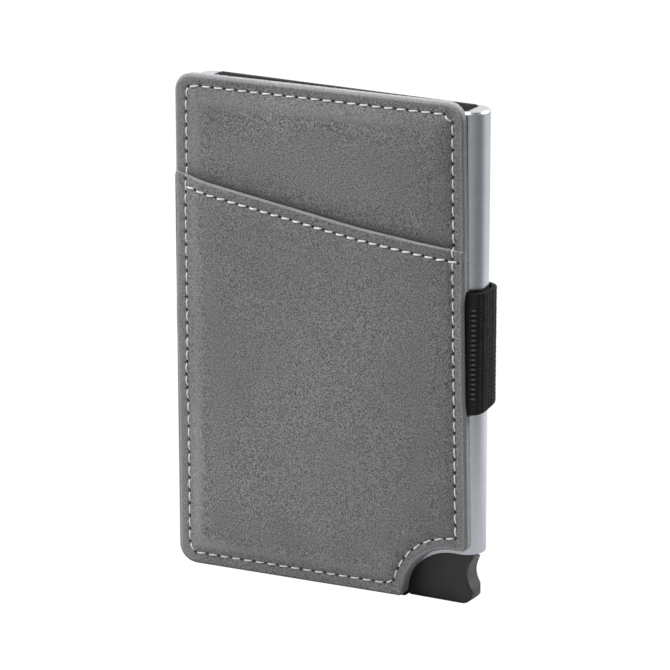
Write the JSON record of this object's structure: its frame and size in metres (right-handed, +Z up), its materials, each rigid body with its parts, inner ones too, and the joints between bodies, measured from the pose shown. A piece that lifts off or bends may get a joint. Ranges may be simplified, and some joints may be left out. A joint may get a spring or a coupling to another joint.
{
  "type": "card wallet",
  "caption": "Slim aluminium card case with a corner trigger that pushes the cards up, a stitched grey slip-pocket panel and a black elastic band round it.",
  "frame": {"origin": "middle of the whole wallet's footprint, on the surface that it stands on", "axes": "+Z up towards the open mouth, +X to the side with the trigger, +Y to the plain back; the stitched panel faces -Y"},
  "size_m": [0.065, 0.011, 0.0989],
  "materials": {
    "case_aluminium": "bead blasted and clear anodised, satin",
    "black_plastic": "moulded ABS, fine satin",
    "trigger_plastic": "moulded ABS, smooth satin",
    "pin_steel": "ground dowel",
    "spring_steel": "drawn spring wire",
    "felt": "thin pressed felt",
    "grip_rubber": "soft elastomer strip",
    "backing_fabric": "microfibre lining",
    "panel_edge": "bonded leather board with painted edge",
    "panel_leather": "grey nubuck-look leather",
    "pocket_leather": "grey nubuck-look leather",
    "thread": "light grey sewing thread",
    "elastic": "ribbed woven elastic"
  },
  "bodies": {
    "case": {"case_shell": "case_aluminium", "base_plug": "black_plastic", "pivot_pin": "pin_steel", "return_spring": "spring_steel", "liner_front": "felt", "liner_rear": "felt", "side_grip_left": "grip_rubber", "side_grip_right": "grip_rubber", "elastic_band": "elastic"},
    "lever": {"ejector_lever": "trigger_plastic"},
    "panel": {"panel_backing": "backing_fabric", "panel_board": "panel_edge", "panel_face": "panel_leather", "pocket_panel": "pocket_leather", "perimeter_seam": "thread", "pocket_seam": "thread"}
  },
  "joints": [
    {"name": "lever_push", "type": "hinge", "parent": "case", "child": "lever", "pos_m": [-0.02285, 0.00097, 0.0047], "axis": [0, -1, 0], "range_deg": [0, 10], "stiffness_Nm_per_rad": 0.6, "springref_deg": -8.59, "deforming": ["return_spring"]},
    {"name": "panel_lift", "type": "slide", "parent": "case", "child": "panel", "axis": [0, -1, 0], "range_m": [0, 0.004], "stiffness_N_per_m": 1500, "springref_m": -0.002, "deforming": ["elastic_band"]}
  ]
}
